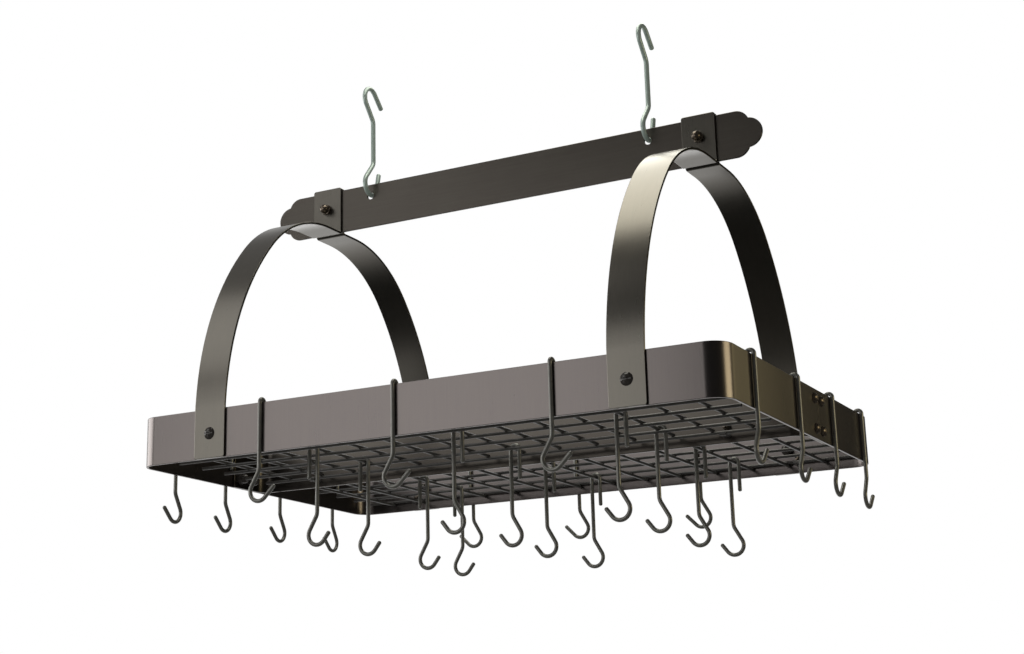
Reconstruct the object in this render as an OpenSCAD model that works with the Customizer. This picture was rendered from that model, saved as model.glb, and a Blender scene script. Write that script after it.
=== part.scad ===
// Hanging pot rack: a rounded rim with two wire grids, four arched arms, a top bar,
// two ceiling hooks and loose pot hooks. Millimetres. X runs along the rack, Y to its back, Z up.
// The origin is midway between the crowns of the two ceiling loops, where the rack hangs.

/* [Rim] */
// Length of the rim over its two short ends
rim_l = 762; // [700:1:840]
// Depth of the rim over its two long sides
rim_d = 514.7; // [470:0.1:560]
// Height of the rim strip
rim_h = 60; // [54:1:75]
// Thickness of every flat strip
strip_t = 3; // [2.5:0.1:3.5]
// Outer radius of the rim's corners
rim_corner_r = 25; // [20:1:30]
// Distance of each splice seam from the middle of its short end
seam_y = 43; // [40:1:50]
// Open gap between the two rim halves at a seam
seam_gap = 0.4; // [0.2:0.1:1]

/* [Crossbar] */
// Inner radius of the bends at the crossbar's ends
crossbar_bend_r = 16; // [8:1:18]
// Reach of each splice plate past its seam
splice_reach = 23; // [20:1:30]
// Distance of the splice screws from the seam, along the rim
splice_dy = 11.5; // [10:0.5:13]
// Distance of the splice screws from the strip's long edges
splice_edge = 12; // [9:0.5:16]

/* [Grids] */
// Diameter of the grid wire
grid_wire = 4; // [3:0.1:4.5]
// Spacing of the cross wires, which run front to back
cross_pitch = 49.4; // [46:0.1:52]
// Spacing of the long wires, which run along the rack
long_pitch = 46.6; // [42:0.1:47]
// Distance from the crossbar's face to the first long wire
grid_gap = 14.6; // [14:0.1:16]
// Height of the lower layer of wires above the rim's lower edge
grid_z = 10; // [9:0.5:14]
// Depth that crossing wires are welded into each other
weld_sink = 0.3; // [0.2:0.1:0.6]
// Free end of a cross wire past the last wire that it crosses
wire_stub = 1; // [0.5:0.1:2]
// Gap between the long wires' ends and the splice nuts
wire_end_gap = 2; // [1:0.5:6]

/* [Arches] */
// Width of an arch strip
arch_w = 44; // [36:1:46]
// Distance of an arch's centre line from the rim's end
arch_inset = 109.5; // [95:0.5:125]
// Outer radius of the slight bend just above the rim
arch_knee_r = 100; // [80:1:140]
// Angle turned by the slight bend
arch_knee_turn = 3.8; // [3:0.1:5]
// Length of the straight run above the slight bend
arch_knee_run = 2; // [1:0.5:6]
// Outer radius of the arch's lower curve
arch_low_r = 358; // [330:1:380]
// Angle from upright at which the lower curve ends
arch_low_turn = 43; // [40:1:46]
// Outer radius of the arch's upper curve
arch_high_r = 179.5; // [165:0.5:190]
// Inner radius of the bend up to the tab
tab_bend_r = 2; // [1.5:0.5:4]
// Height of the tab above the top bar
tab_over = 4; // [2:0.5:8]
// Radius of the arch's corners
arch_corner_r = 3; // [1:0.5:6]

/* [Top bar] */
// Reach of the top bar past an arch's centre line
bar_over = 80.5; // [70:0.5:90]
// Height of the top bar
bar_h = 60; // [54:1:70]
// Radius of the lobe in the middle of each end
lobe_r = 19; // [16:0.5:20]
// Radius of the two shoulders beside the lobe
shoulder_r = 18; // [16:0.5:20]
// Distance of the shoulder's centre behind the lobe's centre
shoulder_back = 15; // [13:0.5:16]
// Distance of a hook hole from the arch's centre line
hook_inset = 67.9; // [50:0.1:90]
// Distance of a hook hole's centre from the bar's upper edge
hook_hole_drop = 16; // [15:0.5:17]
// Diameter of a hook hole
hook_hole_d = 9.5; // [9:0.1:10.5]
// Distance of the tab bolt from the bar's upper edge
tab_bolt_drop = 26; // [20:1:32]

/* [Ceiling hooks] */
// Wire diameter of a ceiling hook
ceil_wire = 6.4; // [5.5:0.1:6.8]
// Centre-line radius of both loops
ceil_r = 15; // [13.5:0.5:16]
// Distance between the centres of the two loops
ceil_span = 124; // [110:1:150]
// Offset of the shaft from the loops' centres, to the open side
ceil_offset = 6.3; // [4:0.1:8]
// Slant of the wire between shaft and loop
ceil_jog = 40; // [35:1:45]
// Centre-line radius of the bend between shaft and slant
ceil_jog_r = 14; // [10:0.5:16]
// Slope of the lower tip above level
ceil_low_slope = 77; // [70:1:80]
// Length of the lower tip's straight end
ceil_low_tip = 25; // [20:1:27]
// Slope of the upper tip below level
ceil_top_slope = 45; // [40:1:50]
// Length of the upper tip's straight end
ceil_top_tip = 25; // [18:1:28]

/* [Pot hooks] */
// Wire diameter of a pot hook
hook_wire = 5; // [4:0.1:5.5]
// Height of a pot hook over all
hook_h = 126.5; // [115:0.5:140]
// Length of a hook's short leg, from its top
hook_short = 45; // [38:1:47]
// Centre-line radius of the bowl that holds a pot
bowl_r = 12; // [10:0.5:13]
// Slant of the wire between shaft and bowl
hook_jog = 30; // [25:1:35]
// Centre-line radius of the bend between shaft and slant
hook_jog_r = 14; // [10:0.5:16]
// Slope of a rim hook's tip above level
rim_tip_slope = 45; // [40:1:50]
// Length of a rim hook's straight tip
rim_tip = 19.5; // [15:0.5:22]
// Slope of a grid hook's tip above level
grid_tip_slope = 52; // [46:1:56]
// Length of a grid hook's straight tip
grid_tip = 13; // [10:0.5:16]
// Play of a rim hook on each side of the strip
rim_play = 0.5; // [0.4:0.1:0.8]
// Distance between the two legs of a grid hook
grid_leg_gap = 11.5; // [10.8:0.1:13]

/* [Fasteners] */
// Diameter of the foot screws, splice screws and tab bolts
bolt_d = 6; // [5:0.1:6.5]
// Head diameter of a foot screw
foot_head_d = 15; // [13:0.5:16]
// Head height of a foot screw
foot_head_h = 4; // [3:0.1:5]
// Width of the slot in a foot screw
foot_slot_w = 1.6; // [1:0.1:2.5]
// Head diameter of a splice screw or tab bolt
bolt_head_d = 13; // [12:0.5:14]
// Head height of a splice screw or tab bolt
bolt_head_h = 5; // [4:0.1:5.5]
// Width of a cap nut across its flats
nut_af = 12.5; // [12:0.1:13]
// Height of a cap nut's hexagon
nut_h = 5.5; // [5:0.1:6.5]
// Length of the round neck between a cap nut's hexagon and dome
nut_neck = 2.2; // [1:0.1:3]
// Diameter of the clip screws
clip_screw_d = 4; // [3:0.1:4.5]
// Head diameter of a clip screw
clip_head_d = 8; // [7:0.5:9]
// Head height of a clip screw
clip_head_h = 2.4; // [2:0.1:3]
// Width of a small cap nut across its flats
clip_nut_af = 7; // [6.6:0.1:8]
// Height of a small cap nut's hexagon
clip_nut_h = 3.2; // [2.5:0.1:4]
// Length of a small cap nut's round neck
clip_neck = 1.1; // [0.6:0.1:2]

/* [Grid clips] */
// Distance of a grid clip from the middle of the last bay between cross wires
clip_shift = 11.4; // [0:0.1:14]
// Width of a clip
clip_w = 8; // [8:0.5:10]
// Thickness of a clip's sheet
clip_t = 1.5; // [1:0.1:2]
// Height of a clip's upper end above the rim's lower edge
clip_top = 24; // [23:0.5:28]
// Height of a clip's screw above the rim's lower edge
clip_screw_z = 18; // [17:0.5:19]
// Height of the lip on a clip's shelf
clip_lip = 4; // [3:0.5:6]

/* [Clearances] */
// Gap between a loose piece and what it rests on
seat_gap = 0.3; // [0.2:0.05:0.4]
// Gap all round a screw in its hole
hole_gap = 0.25; // [0.1:0.05:0.5]
// Gap all round a screw in its nut
thread_gap = 0.05; // [0.02:0.01:0.1]
// How much thinner wire and strip are where they are bent, and how much narrower the strip
bend_thin = 0.1; // [0.06:0.01:0.12]

/* [Hidden] */
$fn = 64;

// Overrun of every cut past the faces that it goes through
cut = 1;
// Reach of a straight run into the thinner bend that follows it
lap = 0.2;
// Sides of a hexagon
hex_sides = 6;

// Colours of the coated steel
rim_colour = "#6f6a66";
bar_colour = "#45423e";
arch_colour = "#3b3a36";
grid_colour = "#353433";
hook_colour = "#46524d";
screw_colour = "#6a5c4a";

// Half sizes and inner faces of the rim
half_l = rim_l / 2;
half_d = rim_d / 2;
inner_l = half_l - strip_t;
inner_d = half_d - strip_t;
mid_l = half_l - strip_t / 2;
mid_d = half_d - strip_t / 2;
inner_corner_r = rim_corner_r - strip_t;
half_t = strip_t / 2;
// Places along the rack, counted from the rim's ends
arch_x = half_l - arch_inset;
hook_x = arch_x - hook_inset;

// The splice plates of the crossbar
splice_end = seam_y + splice_reach;
splice_cols = [seam_y - splice_dy, seam_y + splice_dy];
splice_rows = [splice_edge, rim_h - splice_edge];

// Places of the wires: cross wires at half pitches either side of the middle,
// long wires counted from the crossbar to the rim
wire_r = grid_wire / 2;
long_end_x = inner_l - strip_t - nut_h - nut_neck - nut_af / 2 - wire_end_gap;
cross_count = floor((long_end_x - wire_r - wire_stub) / cross_pitch + 0.5);
clip_x = (cross_count - 1) * cross_pitch - clip_shift;
long_room = inner_d - half_t - grid_gap - wire_r - wire_stub;
long_count = floor(long_room / long_pitch);
first_long_y = half_t + grid_gap;
last_long_y = first_long_y + long_count * long_pitch;
upper_z = grid_z + grid_wire - weld_sink;

// The arch's side view: slight bend, lower curve, upper curve, flat and tab
arch_out_y = half_d + strip_t;
low_start_y = arch_out_y - arch_knee_r * (1 - cos(arch_knee_turn)) - arch_knee_run * sin(arch_knee_turn);
low_start_z = rim_h + arch_knee_r * sin(arch_knee_turn) + arch_knee_run * cos(arch_knee_turn);
low_centre_y = low_start_y - arch_low_r * cos(arch_knee_turn);
low_centre_z = low_start_z - arch_low_r * sin(arch_knee_turn);
low_end_y = low_centre_y + arch_low_r * cos(arch_low_turn);
low_end_z = low_centre_z + arch_low_r * sin(arch_low_turn);
high_end_y = low_end_y - arch_high_r * cos(arch_low_turn);
arch_top_z = low_end_z + arch_high_r * (1 - sin(arch_low_turn));
tab_face_y = half_t + strip_t;
bar_z = arch_top_z;
bar_top_z = bar_z + bar_h;
tab_top_z = bar_top_z + tab_over;

// Places of the screws
foot_screw_z = rim_h / 2;
tab_bolt_z = bar_top_z - tab_bolt_drop;
// Depth of the blind bores, and how far the screws reach into them
bore_l = nut_h + nut_neck + thread_gap;
bolt_grip = nut_h + nut_neck - thread_gap;
clip_bore_l = clip_nut_h + clip_neck + thread_gap;
clip_grip = clip_nut_h + clip_neck - thread_gap;

// The top bar's scalloped ends
lobe_x = arch_x + bar_over - lobe_r;
shoulder_x = lobe_x - shoulder_back;
shoulder_z = bar_h / 2 - shoulder_r;

// The ceiling hooks: the lower loop's centre is the axis on which the rack swings
hook_hole_z = bar_top_z - hook_hole_drop;
swing_z = hook_hole_z + hook_hole_d / 2 - seat_gap - ceil_wire / 2 + ceil_r;
hang_z = swing_z + ceil_span + ceil_r - ceil_wire / 2;

// A rim hook's bend clears the strip's two upper corners by the seat gap
rim_bend_r = half_t + rim_play + hook_wire / 2;
rim_bend_z = rim_h - sqrt(pow(half_t + rim_play - seat_gap, 2) - pow(half_t, 2));
// A grid hook's bend rests on its cross wire
grid_bend_r = grid_leg_gap / 2;
grid_bend_drop = grid_bend_r - hook_wire / 2 - seat_gap - wire_r;

// Shares of the rim's half length or half depth at which the rim hooks hang
front_hook_shares = [-0.52, -0.04, 0.48];
right_hook_shares = [-0.69, -0.13, 0.36, 0.82];
rear_hook_shares = [0.385, -0.08, -0.515];
left_hook_shares = [0.71, 0.2];
// The left side's third hook hangs just past the splice plate, the fourth near the corner
left_hook_gap = 5;
left_corner_share = -0.695;
left_hook_y = concat(
    [for (share = left_hook_shares) share * half_d],
    [-(splice_end + left_hook_gap + hook_wire / 2), left_corner_share * half_d]
);
// Cross wires that carry hooks, in half pitches from the middle
hook_wire_steps = [-3.5, 0.5, 4.5];
// Shares of the long pitch, from the first long wire, at which the grid hooks hang
front_grid_shares = [3.6, 1.13, 3.56, 0.48, 3.22, 0.79];
rear_grid_shares = [1.36, 3.39, 0.86, 3.85, 1.14, 3.65];

// Lifts a piece drawn above the rim's lower edge into the frame of the ceiling loops
module from_rim() {
    translate([0, 0, -hang_z]) children();
}

// A block with four round upright edges, on its own centre
module rounded_block(l, d, h, r) {
    translate([-l / 2, r - d / 2, 0]) cube([l, d - 2 * r, h]);
    translate([r - l / 2, -d / 2, 0]) cube([l - 2 * r, d, h]);
    for (sx = [-1, 1], sy = [-1, 1])
        translate([sx * (l / 2 - r), sy * (d / 2 - r), 0]) cylinder(r = r, h = h);
}

// A cylinder along Y, centred on its place
module rod_y(d, length) {
    rotate([90, 0, 0]) cylinder(d = d, h = length, center = true);
}

// A cylinder along X, centred on its place
module rod_x(d, length) {
    rotate([0, 90, 0]) cylinder(d = d, h = length, center = true);
}

// A bent strip of width w about the Z axis, from the X axis through the turn
module strip_bend(outer_r, turn, w) {
    rotate_extrude(angle = turn)
        translate([outer_r - strip_t + bend_thin / 2, bend_thin / 2])
            square([strip_t - bend_thin, w - bend_thin]);
}

// Bent round wire. Each step is a straight run, a roll about it, then a turn on a radius.
module bent_wire(d, steps, i = 0) {
    run = steps[i][0];
    roll = steps[i][1];
    turn = steps[i][2];
    bend_r = steps[i][3];
    side = turn < 0 ? -1 : 1;
    last = i == len(steps) - 1;
    start = i == 0 ? 0 : -lap;
    end = last ? run : run + lap;
    translate([start, 0, 0]) rotate([0, 90, 0]) cylinder(d = d, h = end - start);
    if (!last) translate([run, 0, 0]) rotate([roll, 0, 0]) {
        translate([0, side * bend_r, 0]) mirror([0, side < 0 ? 1 : 0, 0]) rotate([0, 0, -90])
            rotate_extrude(angle = abs(turn)) translate([bend_r, 0]) circle(d = d - bend_thin);
        translate([0, side * bend_r, 0]) rotate([0, 0, turn]) translate([0, -side * bend_r, 0])
            bent_wire(d, steps, i + 1);
    }
}

// One half of the rim: the front side with its two corners and the parts of both ends up to the seams
module rim_half() {
    seam_face = seam_gap / 2;
    difference() {
        rounded_block(rim_l, rim_d, rim_h, rim_corner_r);
        translate([0, 0, -cut])
            rounded_block(rim_l - 2 * strip_t, rim_d - 2 * strip_t, rim_h + 2 * cut, inner_corner_r);
        translate([0, seam_y - seam_face, -cut]) cube([half_l + cut, half_d, rim_h + 2 * cut]);
        translate([-half_l - cut, -seam_y - seam_face, -cut])
            cube([half_l + cut, half_d + seam_y + cut, rim_h + 2 * cut]);
        for (sx = [-1, 1]) {
            translate([sx * arch_x, -mid_d, foot_screw_z]) rod_y(bolt_d + 2 * hole_gap, strip_t + 2 * cut);
            translate([sx * clip_x, -mid_d, clip_screw_z])
                rod_y(clip_screw_d + 2 * hole_gap, strip_t + 2 * cut);
            for (y = splice_cols, z = splice_rows)
                translate([sx * mid_l, sx * y, z]) rod_x(bolt_d + 2 * hole_gap, strip_t + 2 * cut);
        }
    }
}

module rim_front_half() {
    color(rim_colour) from_rim() rim_half();
}

module rim_rear_half() {
    color(rim_colour) from_rim() rotate([0, 0, 180]) rim_half();
}

// One end of the crossbar: half the web, a wide bend and the splice plate inside the rim's end
module crossbar_end() {
    bend_x = inner_l - strip_t - crossbar_bend_r;
    bend_y = half_t + crossbar_bend_r;
    translate([0, -half_t, 0]) cube([bend_x, strip_t, rim_h]);
    translate([bend_x, bend_y, 0]) rotate([0, 0, -90]) rotate_extrude(angle = 90)
        translate([crossbar_bend_r, 0]) square([strip_t, rim_h]);
    translate([inner_l - strip_t, bend_y, 0]) cube([strip_t, splice_end - bend_y, rim_h]);
}

module crossbar() {
    color(bar_colour) from_rim() difference() {
        for (turned = [0, 180]) rotate([0, 0, turned]) crossbar_end();
        for (turned = [0, 180]) rotate([0, 0, turned]) {
            for (y = splice_cols, z = splice_rows)
                translate([inner_l - half_t, y, z]) rod_x(bolt_d + 2 * hole_gap, strip_t + 2 * cut);
            translate([clip_x, 0, clip_screw_z]) rod_y(clip_screw_d + 2 * hole_gap, strip_t + 2 * cut);
        }
    }
}

// The front grid: long wires at long_z and cross wires at cross_z, both above the rim's lower edge
module wire_grid(long_z, cross_z) {
    near = first_long_y - wire_r - wire_stub;
    far = last_long_y + wire_r + wire_stub;
    for (k = [0 : long_count])
        translate([0, -first_long_y - k * long_pitch, long_z]) rod_x(grid_wire, 2 * long_end_x);
    for (k = [1 : cross_count], sx = [-1, 1])
        translate([sx * (k - 0.5) * cross_pitch, -(near + far) / 2, cross_z]) rod_y(grid_wire, far - near);
}

module grid_front() {
    color(grid_colour) from_rim() wire_grid(grid_z, upper_z);
}

module grid_rear() {
    color(grid_colour) from_rim() rotate([0, 0, 180]) wire_grid(upper_z, grid_z);
}

// An arch on the rear side at a place along the rack: foot, slight bend, two curves, flat, bend and tab
module arch(x) {
    flat_y = tab_face_y + tab_bend_r;
    tab_foot_z = arch_top_z + tab_bend_r;
    difference() {
        translate([x - arch_w / 2, 0, 0]) {
            translate([0, half_d, 0]) cube([arch_w, strip_t, rim_h + lap]);
            translate([0, arch_out_y - arch_knee_r, rim_h]) rotate([90, 0, 90]) {
                strip_bend(arch_knee_r, arch_knee_turn, arch_w);
                rotate([0, 0, arch_knee_turn]) translate([arch_knee_r - strip_t, -lap, 0])
                    cube([strip_t, arch_knee_run + 2 * lap, arch_w]);
            }
            translate([0, low_centre_y, low_centre_z]) rotate([90, 0, 90]) rotate([0, 0, arch_low_turn]) {
                mirror([0, 1, 0]) strip_bend(arch_low_r, arch_low_turn - arch_knee_turn, arch_w);
                translate([arch_low_r - arch_high_r, 0, 0])
                    strip_bend(arch_high_r, 90 - arch_low_turn, arch_w);
            }
            translate([0, flat_y - lap, arch_top_z - strip_t])
                cube([arch_w, high_end_y - flat_y + 2 * lap, strip_t]);
            translate([0, flat_y, tab_foot_z]) rotate([90, 0, 90]) rotate([0, 0, 180])
                strip_bend(tab_bend_r + strip_t, 90, arch_w);
            translate([0, half_t, tab_foot_z - lap])
                cube([arch_w, strip_t, tab_top_z - tab_foot_z + lap]);
        }
        for (sx = [-1, 1]) {
            corner_x = x + sx * (arch_w / 2 - arch_corner_r);
            translate([corner_x, half_d + half_t, arch_corner_r]) strip_corner(sx, -1);
            translate([corner_x, half_t + half_t, tab_top_z - arch_corner_r]) strip_corner(sx, 1);
        }
        translate([x, half_d + half_t, foot_screw_z]) rod_y(bolt_d + 2 * hole_gap, strip_t + 2 * cut);
        translate([x, half_t + half_t, tab_bolt_z]) rod_y(bolt_d + 2 * hole_gap, strip_t + 2 * cut);
    }
}

// What a round corner takes off an arch's end, about the corner's own centre
module strip_corner(sx, sz) {
    size = arch_corner_r + cut;
    difference() {
        translate([sx * size / 2, 0, sz * size / 2]) cube([size, strip_t + 2 * cut, size], center = true);
        rod_y(2 * arch_corner_r, strip_t + 4 * cut);
    }
}

module arch_rear_right() {
    color(arch_colour) from_rim() arch(arch_x);
}

module arch_rear_left() {
    color(arch_colour) from_rim() arch(-arch_x);
}

module arch_front_right() {
    color(arch_colour) from_rim() rotate([0, 0, 180]) arch(-arch_x);
}

module arch_front_left() {
    color(arch_colour) from_rim() rotate([0, 0, 180]) arch(arch_x);
}

module top_bar() {
    mid_z = bar_z + bar_h / 2;
    color(bar_colour) from_rim() difference() {
        union() {
            translate([-shoulder_x, -half_t, bar_z]) cube([2 * shoulder_x, strip_t, bar_h]);
            for (sx = [-1, 1]) {
                translate([sx * lobe_x, 0, mid_z]) rod_y(2 * lobe_r, strip_t);
                for (sz = [-1, 1])
                    translate([sx * shoulder_x, 0, mid_z + sz * shoulder_z]) rod_y(2 * shoulder_r, strip_t);
            }
        }
        for (sx = [-1, 1]) {
            translate([sx * hook_x, 0, hook_hole_z]) rod_y(hook_hole_d, strip_t + 2 * cut);
            translate([sx * arch_x, 0, tab_bolt_z]) rod_y(bolt_d + 2 * hole_gap, strip_t + 2 * cut);
        }
    }
}

// Half a ceiling hook, from the middle of its shaft down to one loop, opening to +X
module ceiling_half(slope, tip) {
    run = (ceil_r * cos(ceil_jog) + ceil_offset - ceil_jog_r * (1 - cos(ceil_jog))) / sin(ceil_jog);
    shaft = ceil_span / 2 - (ceil_r + ceil_jog_r) * sin(ceil_jog) - run * cos(ceil_jog);
    translate([ceil_offset, 0, 0]) rotate([90, 90, 0]) bent_wire(ceil_wire, [
        [shaft, 0, -ceil_jog, ceil_jog_r],
        [run, 0, ceil_jog + 90 + slope, ceil_r],
        [tip, 0, 0, 0]
    ]);
}

module ceiling_hook(sx) {
    color(hook_colour) from_rim() translate([sx * hook_x, 0, swing_z + ceil_span / 2]) rotate([0, 0, 90]) {
        ceiling_half(ceil_low_slope, ceil_low_tip);
        mirror([0, 0, 1]) ceiling_half(ceil_top_slope, ceil_top_tip);
    }
}

module ceiling_hook_left() {
    ceiling_hook(-1);
}

module ceiling_hook_right() {
    ceiling_hook(1);
}

// A pot hook about the centre of its upper bend: short leg at -X, long leg at +X.
// With twist 0 the bowl opens to +X, with twist -90 it opens to +Y.
module pot_hook(top_r, twist, slope, tip) {
    wire = hook_wire / 2;
    run = (bowl_r * cos(hook_jog) - hook_jog_r * (1 - cos(hook_jog))) / sin(hook_jog);
    bowl_h = bowl_r * (1 + sin(hook_jog)) + run * cos(hook_jog) + hook_jog_r * sin(hook_jog) + wire;
    short_leg = hook_short - top_r - wire;
    long_leg = hook_h - top_r - wire - bowl_h;
    translate([-top_r, 0, -short_leg]) rotate([90, -90, 0]) bent_wire(hook_wire, [
        [short_leg, 0, -180, top_r],
        [long_leg, twist, -hook_jog, hook_jog_r],
        [run, 0, hook_jog + 90 + slope, bowl_r],
        [tip, 0, 0, 0]
    ]);
}

// A hook on the rim's top edge at a place in plan, its long leg on the outer side that faces the angle
module rim_hook(x, y, facing) {
    color(hook_colour) from_rim() translate([x, y, rim_bend_z]) rotate([0, 0, facing])
        pot_hook(rim_bend_r, -90, rim_tip_slope, rim_tip);
}

module front_rim_hook(i) {
    rim_hook(front_hook_shares[i] * half_l, -mid_d, -90);
}

module right_rim_hook(i) {
    rim_hook(mid_l, right_hook_shares[i] * half_d, 0);
}

module rear_rim_hook(i) {
    rim_hook(rear_hook_shares[i] * half_l, mid_d, 90);
}

module left_rim_hook(i) {
    rim_hook(-mid_l, left_hook_y[i], 180);
}

// A hook on a cross wire. Hooks on the first wire open to the right, the others to the left.
module grid_hook(i, share, side, wire_z) {
    wire = floor(i / 2);
    x = hook_wire_steps[wire] * cross_pitch;
    y = side * (first_long_y + share * long_pitch);
    color(hook_colour) from_rim() translate([x, y, wire_z - grid_bend_drop])
        rotate([0, 0, wire == 0 ? 0 : 180])
            pot_hook(grid_bend_r, 0, grid_tip_slope, grid_tip);
}

module front_grid_hook(i) {
    grid_hook(i, front_grid_shares[i], -1, upper_z);
}

module rear_grid_hook(i) {
    grid_hook(i, rear_grid_shares[i], 1, grid_z);
}

// A screw with its seat at zero: round head above, shank below
module round_screw(head_d, head_h, shank_d, shank_l, slot_w) {
    dome_r = (pow(head_d / 2, 2) + pow(head_h, 2)) / (2 * head_h);
    slot_h = head_h / 2;
    difference() {
        intersection() {
            translate([0, 0, head_h - dome_r]) sphere(r = dome_r);
            cylinder(d = head_d, h = head_h);
        }
        if (slot_w > 0)
            translate([-head_d, -slot_w / 2, head_h - slot_h]) cube([2 * head_d, slot_w, slot_h + cut]);
    }
    translate([0, 0, -shank_l]) cylinder(d = shank_d, h = shank_l);
}

// A cap nut with its seat at zero: hexagon, neck and dome, with a blind bore
module cap_nut(af, hex_h, neck_h, bore_d, bore_l) {
    dome_r = af / 2 - thread_gap;
    difference() {
        union() {
            cylinder(d = af / cos(180 / hex_sides), h = hex_h, $fn = hex_sides);
            translate([0, 0, hex_h]) cylinder(r = dome_r, h = neck_h);
            translate([0, 0, hex_h + neck_h]) intersection() {
                sphere(r = dome_r);
                cylinder(r = dome_r + cut, h = dome_r + cut);
            }
        }
        translate([0, 0, -cut]) cylinder(d = bore_d, h = bore_l + cut);
    }
}

module foot_screws() {
    color(screw_colour) from_rim() for (sx = [-1, 1], sy = [-1, 1])
        translate([sx * arch_x, sy * arch_out_y, foot_screw_z]) rotate([-sy * 90, 0, 0])
            round_screw(foot_head_d, foot_head_h, bolt_d, 2 * strip_t + bolt_grip, foot_slot_w);
}

module foot_nuts() {
    color(screw_colour) from_rim() for (sx = [-1, 1], sy = [-1, 1])
        translate([sx * arch_x, sy * inner_d, foot_screw_z]) rotate([sy * 90, 0, 0])
            cap_nut(nut_af, nut_h, nut_neck, bolt_d + 2 * thread_gap, bore_l);
}

module splice_screws() {
    color(screw_colour) from_rim() for (sx = [-1, 1], y = splice_cols, z = splice_rows)
        translate([sx * half_l, sx * y, z]) rotate([0, sx * 90, 0])
            round_screw(bolt_head_d, bolt_head_h, bolt_d, 2 * strip_t + bolt_grip, 0);
}

module splice_nuts() {
    color(screw_colour) from_rim() for (sx = [-1, 1], y = splice_cols, z = splice_rows)
        translate([sx * (inner_l - strip_t), sx * y, z]) rotate([0, -sx * 90, 0])
            cap_nut(nut_af, nut_h, nut_neck, bolt_d + 2 * thread_gap, bore_l);
}

module tab_bolts() {
    color(screw_colour) from_rim() for (sx = [-1, 1])
        translate([sx * arch_x, tab_face_y, tab_bolt_z]) rotate([-90, 0, 0])
            round_screw(bolt_head_d, bolt_head_h, bolt_d, 3 * strip_t + bolt_grip, 0);
}

module tab_nuts() {
    color(screw_colour) from_rim() for (sx = [-1, 1])
        translate([sx * arch_x, -tab_face_y, tab_bolt_z]) rotate([90, 0, 0])
            cap_nut(nut_af, nut_h, nut_neck, bolt_d + 2 * thread_gap, bore_l);
}

// A clip on a face at y 0, its shelf reaching to +Y under a long wire at the given distance and height
module grid_clip(reach, wire_z) {
    shelf_z = wire_z - wire_r - seat_gap - clip_t;
    lip_y = reach + wire_r + seat_gap;
    difference() {
        translate([-clip_w / 2, 0, shelf_z]) {
            cube([clip_w, clip_t, clip_top - shelf_z]);
            cube([clip_w, lip_y + clip_t, clip_t]);
            translate([0, lip_y, 0]) cube([clip_w, clip_t, clip_lip]);
        }
        translate([0, clip_t / 2, clip_screw_z]) rod_y(clip_screw_d + 2 * hole_gap, clip_t + 2 * cut);
    }
}

// The four clips of the grid behind the crossbar
module grid_clips(wire_z) {
    for (sx = [-1, 1]) {
        translate([sx * clip_x, half_t, 0]) grid_clip(grid_gap, wire_z);
        translate([sx * clip_x, inner_d, 0]) rotate([0, 0, 180]) grid_clip(inner_d - last_long_y, wire_z);
    }
}

module grid_clips_front() {
    color(grid_colour) from_rim() rotate([0, 0, 180]) grid_clips(grid_z);
}

module grid_clips_rear() {
    color(grid_colour) from_rim() grid_clips(upper_z);
}

module clip_screws() {
    color(screw_colour) from_rim() for (sx = [-1, 1]) {
        translate([sx * clip_x, half_t + clip_t, clip_screw_z]) rotate([-90, 0, 0])
            round_screw(clip_head_d, clip_head_h, clip_screw_d, strip_t + 2 * clip_t + clip_grip, 0);
        for (sy = [-1, 1])
            translate([sx * clip_x, sy * (inner_d - clip_t), clip_screw_z]) rotate([sy * 90, 0, 0])
                round_screw(clip_head_d, clip_head_h, clip_screw_d, strip_t + clip_t, 0);
    }
}

module clip_nuts() {
    color(screw_colour) from_rim() for (sx = [-1, 1])
        translate([sx * clip_x, -half_t - clip_t, clip_screw_z]) rotate([90, 0, 0])
            cap_nut(clip_nut_af, clip_nut_h, clip_neck, clip_screw_d + 2 * thread_gap, clip_bore_l);
}

rim_front_half();
rim_rear_half();
crossbar();
grid_front();
grid_rear();
arch_front_left();
arch_front_right();
arch_rear_left();
arch_rear_right();
top_bar();
ceiling_hook_left();
ceiling_hook_right();
foot_screws();
foot_nuts();
splice_screws();
splice_nuts();
tab_bolts();
tab_nuts();
grid_clips_front();
grid_clips_rear();
clip_screws();
clip_nuts();
for (i = [0 : 2]) front_rim_hook(i);
for (i = [0 : 3]) right_rim_hook(i);
for (i = [0 : 2]) rear_rim_hook(i);
for (i = [0 : 3]) left_rim_hook(i);
for (i = [0 : 5]) front_grid_hook(i);
for (i = [0 : 5]) rear_grid_hook(i);
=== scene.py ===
import math

import bmesh
import bpy
from mathutils import Matrix, Vector


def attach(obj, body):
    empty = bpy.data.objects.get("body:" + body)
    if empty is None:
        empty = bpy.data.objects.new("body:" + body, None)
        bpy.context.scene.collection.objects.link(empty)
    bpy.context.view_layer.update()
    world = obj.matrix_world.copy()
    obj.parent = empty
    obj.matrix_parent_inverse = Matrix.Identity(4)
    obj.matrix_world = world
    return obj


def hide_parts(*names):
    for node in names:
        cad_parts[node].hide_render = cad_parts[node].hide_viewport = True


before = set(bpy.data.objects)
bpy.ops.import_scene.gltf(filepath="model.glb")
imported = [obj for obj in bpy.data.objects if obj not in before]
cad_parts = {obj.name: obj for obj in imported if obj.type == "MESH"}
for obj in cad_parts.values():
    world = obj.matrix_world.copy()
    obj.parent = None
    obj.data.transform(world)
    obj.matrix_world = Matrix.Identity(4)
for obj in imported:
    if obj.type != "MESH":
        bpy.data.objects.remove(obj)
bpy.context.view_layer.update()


# The rim
# Two U-shaped halves of flat steel strip, drilled flat, then bent round a former at their two corners.
# A narrow seam shows in each short end, where the halves meet over a splice plate.
# Powder coated in satin grey-bronze: the front catches the light, with a fine upright grain.
MM = 0.001
HANG_Z = 542.184
ORIGIN = Vector((0, 0, HANG_Z))
STRIP_T = 3.0
RIM_L = 762.0
RIM_D = 514.7
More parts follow.
